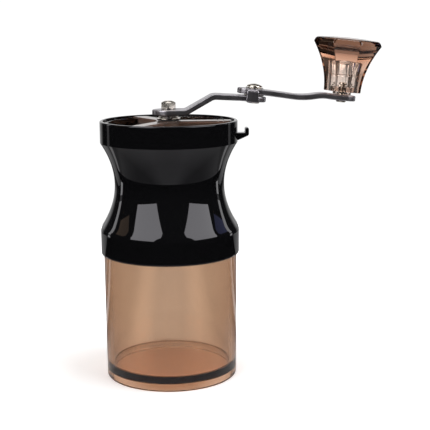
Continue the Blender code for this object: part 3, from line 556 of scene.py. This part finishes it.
bmesh.ops.transform(tab_shape, matrix=fold_in_mm @ turn_front, verts=tab_shape.verts)
pivot_bore, pin_bore = rod(2.5, 1, 8), rod(2.3, -7, 0)
bmesh.ops.transform(pivot_bore, matrix=fold_in_mm, verts=pivot_bore.verts)
bmesh.ops.transform(pin_bore, matrix=knob_in_mm, verts=pin_bore.verts)
outer_shape = combined("UNION", outer_shape, tab_shape)
outer_shape = combined("DIFFERENCE", outer_shape, pivot_bore, pin_bore)
piece("upper_link", outer_shape, UPRIGHT, SATIN, "outer_link", "satin_steel", "outer_arm", sharp=40)

# %% [markdown]
# The fold turns on a stepped rivet. Its domed head is plated and bright, and it clamps two washers.

# %% Fold rivet
under = -INNER_DROP - INNER_THICK / 2 - 0.3
rivet_shape = turned([
    (0, 8.4), (2.6, 8.1, 1.5), (4.45, 7.1, 0.5), (4.45, 6.5, 0.15), (2.2, 6.5), (2.2, under), (3.6, under, 0.1),
    (3.3, under - 0.8, 0.4), (0, under - 0.8),
], 72)
piece("rivet", rivet_shape, FOLD, BRIGHT, "crank", "bright_steel", "fold_rivet")
piece("spacer_disc", washer(2.5, 5.6, 1.6, 2.05), FOLD, BRIGHT, "crank", "bright_steel", "fold_spacer")
piece("rivet_washer", washer(2.5, 5.0, 5.75, 6.2), FOLD, BRIGHT, "crank", "bright_steel", "fold_washer")

# %% [markdown]
# ## The knob
# A thick eight-sided horn of clear plastic. A spin of only eight steps gives flat facets with a curved
# flare, and a narrow bevel along the eight corners keeps them from looking knife sharp. It is hollow from
# below: the well shows through as a bright-topped cylinder, and a small step halfway marks its sleeve.

# %% Knob
KNOB_HEIGHT, KNOB_FOOT, KNOB_FLARE, KNOB_CROWN = 29.4, 10.4, 8.4, 1.0
WELL_RADIUS, WELL_DEPTH, KNOB_TURN = 6.6, 19.0, math.radians(-9.5)
corner = 1 / math.cos(math.pi / 8)
flare_end, rows = KNOB_HEIGHT - 2.6, 28
flare = [((KNOB_FOOT + KNOB_FLARE * (row / rows) ** 2) * corner, flare_end * row / rows)
         for row in range(rows, 0, -1)]
rim = flare[0][0]
knob_shape = turned([
    (0, KNOB_HEIGHT + KNOB_CROWN), (rim / 2, KNOB_HEIGHT + 0.75 * KNOB_CROWN, 4.0), (rim - 0.8, KNOB_HEIGHT, 2.0),
    *flare, (KNOB_FOOT * corner, 0, 0.5), (0, 0),
], 8)
corners = [edge for edge in knob_shape.edges
           if len(edge.link_faces) == 2 and edge.calc_face_angle() > math.radians(30)
           and abs(edge.verts[0].co.xy.angle_signed(edge.verts[1].co.xy, 0)) < 0.01]
bmesh.ops.bevel(knob_shape, geom=corners, offset=0.3, segments=3, profile=0.5, affect="EDGES", material=-1)
bmesh.ops.rotate(knob_shape, verts=knob_shape.verts, matrix=Matrix.Rotation(math.pi / 8 + KNOB_TURN, 3, "Z"))
well = turned([(0, WELL_DEPTH), (WELL_RADIUS - 0.25, WELL_DEPTH - 0.4, 0.8), (WELL_RADIUS - 0.25, 10.2),
               (WELL_RADIUS, 9.9), (WELL_RADIUS, -2), (0, -2)], 96)
knob_shape = combined("DIFFERENCE", knob_shape, well)
piece("knob_horn", knob_shape, KNOB, SMOKE_KNOB, "knob", "smoke_knob", "knob", sharp=20)

# %% Knob plug, washer and pin
plug_shape = turned([
    (2.3, 3.0, 0.2), (WELL_RADIUS - 0.3, 3.0, 0.2), (WELL_RADIUS - 0.3, 0.1), (5.2, 0.1), (5.2, -1.6, 0.3),
    (2.3, -1.6, 0.2),
], 72)
piece("well_plug", plug_shape, KNOB, SMOKE_KNOB, "knob", "smoke_knob", "knob_plug")
piece("pin_washer", washer(2.3, 5.2, 3.3, 3.9), KNOB, BRIGHT, "outer_link", "bright_steel", "knob_washer")
below = -BELOW_KNOB - OUTER_THICK / 2 - 0.3
pin_shape = turned([
    (0, 5.8), (3.4, 5.6, 0.5), (3.4, 4.2, 0.1), (2.0, 4.2), (2.0, below), (2.8, below, 0.1),
    (2.6, below - 0.8, 0.3), (0, below - 0.8),
], 64)
piece("pivot_pin", pin_shape, KNOB, BRIGHT, "outer_link", "bright_steel", "knob_pin")

# %% [markdown]
# ## The burr set
# The burrs hang under the body and only show from below. Their frame parts are already the right shape, so
# they keep their meshes and only take a real finish.

# %% Finishes for the hidden works
carried_over = {
    NYLON: ("lower_bush", "burr_carrier", "burr_core", "adjust_nut"),
    CERAMIC: ("inner_burr", "outer_burr"),
    BRIGHT: ("detent_plate", "burr_spring", "spring_seat", "retainer_screw_1", "retainer_screw_2",
             "retainer_screw_3"),
    SATIN: ("burr_retainer",),
    SILICONE: ("jar_seal",),
}
for material, names in carried_over.items():
    for name in names:
        slots = frame["nodes"][name].data.materials
        slots.clear()
        slots.append(material)
print("finished", sum(len(names) for names in carried_over.values()), "hidden parts")

# %% [markdown]
# ## Studio
# White plastic film sweeps behind the grinder, two tall windows light it from the front left and the front
# right, and the rest of the room is dark. Gloss black shows nothing but its room, so the room matters as
# much as the part: it is white only behind, and the floor is a sheet that ends in front of the camera.

# %% Floor
PAPER_RADIUS, PAPER_HALF, PAPER_BACK, ARC_END = 0.335, 0.5, 0.45, math.radians(134)
arc = [ARC_END * step / 32 for step in range(-32, 33)]
outline = [(PAPER_RADIUS * math.sin(turn), -PAPER_RADIUS * math.cos(turn)) for turn in arc]
outline += [(PAPER_HALF, outline[-1][1]), (PAPER_HALF, PAPER_BACK), (-PAPER_HALF, PAPER_BACK), (-PAPER_HALF, outline[0][1])]
floor_shape = bmesh.new()
floor_shape.faces.new([floor_shape.verts.new((x + UPRIGHT.translation.x, y, -0.0002)) for x, y in outline])
floor_mesh = bpy.data.meshes.new("floor")
floor_shape.to_mesh(floor_mesh)
floor_shape.free()
PAPER = finish("white_paper", (0.93, 0.925, 0.92), (0.85, 0.95), 0.001, 0.0)
nodes, links = PAPER.node_tree.nodes, PAPER.node_tree.links
middle = nodes.new("ShaderNodeVectorMath")
middle.operation = "SUBTRACT"
middle.inputs[1].default_value = (UPRIGHT.translation.x, 0, 0)
where = nodes.new("ShaderNodeSeparateXYZ")
links.new(nodes["Texture Coordinate"].outputs["Object"], middle.inputs[0])
links.new(middle.outputs["Vector"], where.inputs["Vector"])


def paper_math(operation, first, second=None):
    """A maths node in the paper's material; a plain number may stand for either value."""
    node = nodes.new("ShaderNodeMath")
    node.operation = operation
    for socket, value in zip(node.inputs, (first, second)):
        if isinstance(value, (int, float)):
            socket.default_value = value
        elif value is not None:
            links.new(value, socket)
    return node.outputs["Value"]


def paper_ramp(source, start, end, low, high):
    node = nodes.new("ShaderNodeMapRange")
    node.inputs["From Min"].default_value, node.inputs["From Max"].default_value = start, end
    node.inputs["To Min"].default_value, node.inputs["To Max"].default_value = low, high
    links.new(source, node.inputs["Value"])
    return node.outputs["Result"]


seen = nodes.new("ShaderNodeLightPath")
# For gloss alone the paper carries a painted pattern: pale near the grinder, with painted shade in front, to the sides
# and just behind.
across = paper_math("ABSOLUTE", where.outputs["X"])
lean = paper_math("SUBTRACT", where.outputs["Y"], paper_math("MULTIPLY", across, 0.357))
gloss_painted_shade = paper_math("MULTIPLY", paper_ramp(where.outputs["Y"], -0.12, 0.05, 0.45, 0.93),
                   paper_math("MULTIPLY", paper_ramp(across, 0.06, 0.17, 1.0, 0.3), paper_ramp(lean, 0.0, 0.04, 1.0, 0.25)))
# A thin bright line behind the grinder, seen only in gloss: painted light.
line = paper_ramp(paper_math("ABSOLUTE", paper_math("SUBTRACT", lean, 0.078)), 0.016, 0.024, 1.0, 0.0)
# Beyond the line, painted grey that lightens further back.
gloss_painted_light_and_shade = paper_math("MAXIMUM", paper_math("MAXIMUM", gloss_painted_shade, line), paper_ramp(lean, 0.11, 0.16, 0.15, 0.45))
# Glossy rays that did not come through plastic see this painted pattern; all other rays see white paper.
tone = nodes.new("ShaderNodeMix")
tone.data_type = "FLOAT"
glanced = paper_math("MULTIPLY", seen.outputs["Is Glossy Ray"],
                     paper_math("SUBTRACT", 1.0, seen.outputs["Is Transmission Ray"]))
links.new(glanced, tone.inputs["Factor"])
tone.inputs["A"].default_value = 0.93
links.new(gloss_painted_light_and_shade, tone.inputs["B"])
# The camera sees the paper glow white, but less close to the grinder, so that its lit shading shows there; the dim
# patch is centred left of the spindle, which paints shade on the left of the foot.
painted_shade_distance = nodes.new("ShaderNodeVectorMath")
painted_shade_distance.operation = "DISTANCE"
painted_shade_distance.inputs[1].default_value = (-0.016, 0, 0)
links.new(middle.outputs["Vector"], painted_shade_distance.inputs[0])
camera_glow_with_painted_shade = paper_math("MULTIPLY", seen.outputs["Is Camera Ray"], paper_ramp(painted_shade_distance.outputs["Value"], 0.04, 0.15, 0.3, 1.05))
# Two narrow bright streaks beside the grinder, seen only through clear plastic: painted light in place of light bent
# through the jar.
painted_light_streak = paper_math("MINIMUM", paper_ramp(across, 0.012, 0.024, 0.0, 0.17), paper_ramp(across, 0.029, 0.043, 0.17, 0.0))
glow_with_painted_shade_and_light = paper_math("ADD", camera_glow_with_painted_shade, paper_math("MULTIPLY", seen.outputs["Is Transmission Ray"], painted_light_streak))
shader = nodes["Principled BSDF"]
links.new(tone.outputs["Result"], shader.inputs["Base Color"])
shader.inputs["Emission Color"].default_value = (1, 1, 1, 1)
links.new(glow_with_painted_shade_and_light, shader.inputs["Emission Strength"])
floor_mesh.materials.append(PAPER)
floor = bpy.data.objects.new("floor", floor_mesh)
bpy.context.scene.collection.objects.link(floor)
print("floor ready")

# %% [markdown]
# Two narrow white cards stand a little behind the grinder, one on each side. The gloss of the waist picks
# each of them up as one thin curved line, which is what makes the shape easy to read. The camera and the
# clear parts don't see them.

# %% Cards
for low, high, strength in ((0.02, 0.084, 1.9), (0.084, 0.113, 0.3), (0.113, 0.30, 1.9)):
    white = bpy.data.materials.new("white_card")
    white.use_nodes = True
    white.node_tree.nodes["Principled BSDF"].inputs["Base Color"].default_value = (0, 0, 0, 1)
    white.node_tree.nodes["Principled BSDF"].inputs["Specular IOR Level"].default_value = 0
    white.node_tree.nodes["Principled BSDF"].inputs["Emission Color"].default_value = (1, 1, 1, 1)
    white.node_tree.nodes["Principled BSDF"].inputs["Emission Strength"].default_value = strength
    for side in (-1, 1):
        shape = block((-0.024, 0.398, low), (0.024, 0.402, high), math.radians(side * 65))
        bmesh.ops.translate(shape, verts=shape.verts, vec=(UPRIGHT.translation.x, 0, 0))
        mesh = bpy.data.meshes.new("card")
        shape.to_mesh(mesh)
        shape.free()
        mesh.materials.append(white)
        card = bpy.data.objects.new("card", mesh)
        bpy.context.scene.collection.objects.link(card)
        card.visible_camera = card.visible_transmission = card.visible_diffuse = card.visible_shadow = False
print("cards ready")

# %% [markdown]
# The room is a world shader, and it answers three kinds of ray. The camera sees the sweep's white, so the
# grinder stands on white from every side. A ray that has come through clear plastic sees the white sweep
# behind, and a brighter sky above it. A ray that glances off gloss sees the sweep only where it is high.

# %% Room
world = bpy.data.worlds.new("studio")
bpy.context.scene.world = world
world.use_nodes = True
nodes, links = world.node_tree.nodes, world.node_tree.links
heading = nodes.new("ShaderNodeTexCoord").outputs["Generated"]
parts = nodes.new("ShaderNodeSeparateXYZ")
links.new(heading, parts.inputs["Vector"])
rays = nodes.new("ShaderNodeLightPath")


def ramp(source, start, end, low, high):
    """low before start and high after end, as a node output."""
    node = nodes.new("ShaderNodeMapRange")
    node.inputs["From Min"].default_value, node.inputs["From Max"].default_value = start, end
    node.inputs["To Min"].default_value, node.inputs["To Max"].default_value = low, high
    links.new(source, node.inputs["Value"])
    return node.outputs["Result"]


def product(first, second, operation="MULTIPLY"):
    node = nodes.new("ShaderNodeMath")
    node.operation = operation
    links.new(first, node.inputs[0])
    links.new(second, node.inputs[1])
    return node.outputs["Value"]


def brighter(first, second):
    return product(first, second, "MAXIMUM")


def either(factor, first, second):
    """first where the factor is 0, second where it is 1."""
    node = nodes.new("ShaderNodeMix")
    node.data_type = "FLOAT"
    links.new(factor, node.inputs["Factor"])
    links.new(first, node.inputs["A"])
    links.new(second, node.inputs["B"])
    return node.outputs["Result"]


up, back = parts.outputs["Z"], parts.outputs["Y"]
glanced = product(ramp(back, 0.77, 0.90, 0.02, 1.0), product(ramp(up, -0.17, -0.12, 0.15, 1.0), ramp(up, -0.02, 0.06, 0.45, 0.85)))
sideways = parts.outputs["X"]
skylight = product(ramp(up, 0.22, 0.45, 0.05, 2.8), ramp(back, 0.2, 0.45, 0.1, 1.0))
skylight = product(skylight, ramp(product(sideways, sideways), 0.03, 0.12, 1.0, 0.1))
passed = brighter(ramp(back, 0.84, 0.92, 0.08, 1.05), skylight)
seen_through = either(rays.outputs["Is Transmission Ray"], glanced, passed)
white = ramp(back, -1.0, 1.0, 1.05, 1.05)
links.new(either(rays.outputs["Is Camera Ray"], seen_through, white), nodes["Background"].inputs["Strength"])
nodes["Background"].inputs["Color"].default_value = (1, 1, 1, 1)
bpy.context.scene.view_settings.view_transform = "Standard"
print("room ready")

# %% Windows


def window(name, azimuth, elevation, distance, width, height, radiance, tint=(1, 1, 1)):
    """A rectangular light aimed at the grinder's waist; radiance is its brightness seen from the front."""
    centre = Vector((UPRIGHT.translation.x, 0, 0.1))
    turn, rise = math.radians(azimuth), math.radians(elevation)
    away = Vector((math.sin(turn) * math.cos(rise), -math.cos(turn) * math.cos(rise), math.sin(rise)))
    data = bpy.data.lights.new(name, "AREA")
    data.shape, data.size, data.size_y = "RECTANGLE", width, height
    data.energy = radiance * width * height * math.pi
    data.color = tint
    lamp = bpy.data.objects.new(name, data)
    lamp.location = centre + away * distance
    lamp.rotation_euler = away.to_track_quat("Z", "Y").to_euler()
    bpy.context.scene.collection.objects.link(lamp)
    print(name, "at", [round(value, 2) for value in lamp.location])
    return lamp


window("window_left", -47, 32, 1.2, 0.95, 1.0, 3.6)
window("window_right", 61, 32, 1.2, 1.0, 1.0, 3.6)
window("side_left", -96, 28, 1.2, 0.4, 0.4, 0.5, (1.0, 0.72, 0.5))
window("side_right", 104, 24, 1.2, 0.4, 0.3, 0.6, (0.45, 0.5, 1.0))
window("overhead", 180, 80, 1.3, 0.9, 0.7, 2.0)

# %% [markdown]
# ## Camera
# A longish lens from just above the rim: it looks down by about ten degrees, so the rim is a flat ellipse.

# %% Camera
YAW, PITCH, ROLL = 0.044, 0.186, -0.006
camera_data = bpy.data.cameras.new("camera")
camera_data.lens, camera_data.sensor_width = 87.1, 36.0
camera = bpy.data.objects.new("camera", camera_data)
forward = Vector((math.sin(YAW) * math.cos(PITCH), math.cos(YAW) * math.cos(PITCH), -math.sin(PITCH)))
level = Vector((math.cos(YAW), -math.sin(YAW), 0))
right = math.cos(ROLL) * level + math.sin(ROLL) * level.cross(forward)
up = right.cross(forward)
camera.matrix_world = Matrix.Translation((UPRIGHT.translation.x, -0.5909, 0.2045)) @ Matrix(
    (right, up, -forward)).transposed().to_4x4()
bpy.context.scene.collection.objects.link(camera)
bpy.context.scene.camera = camera
print("camera ready")
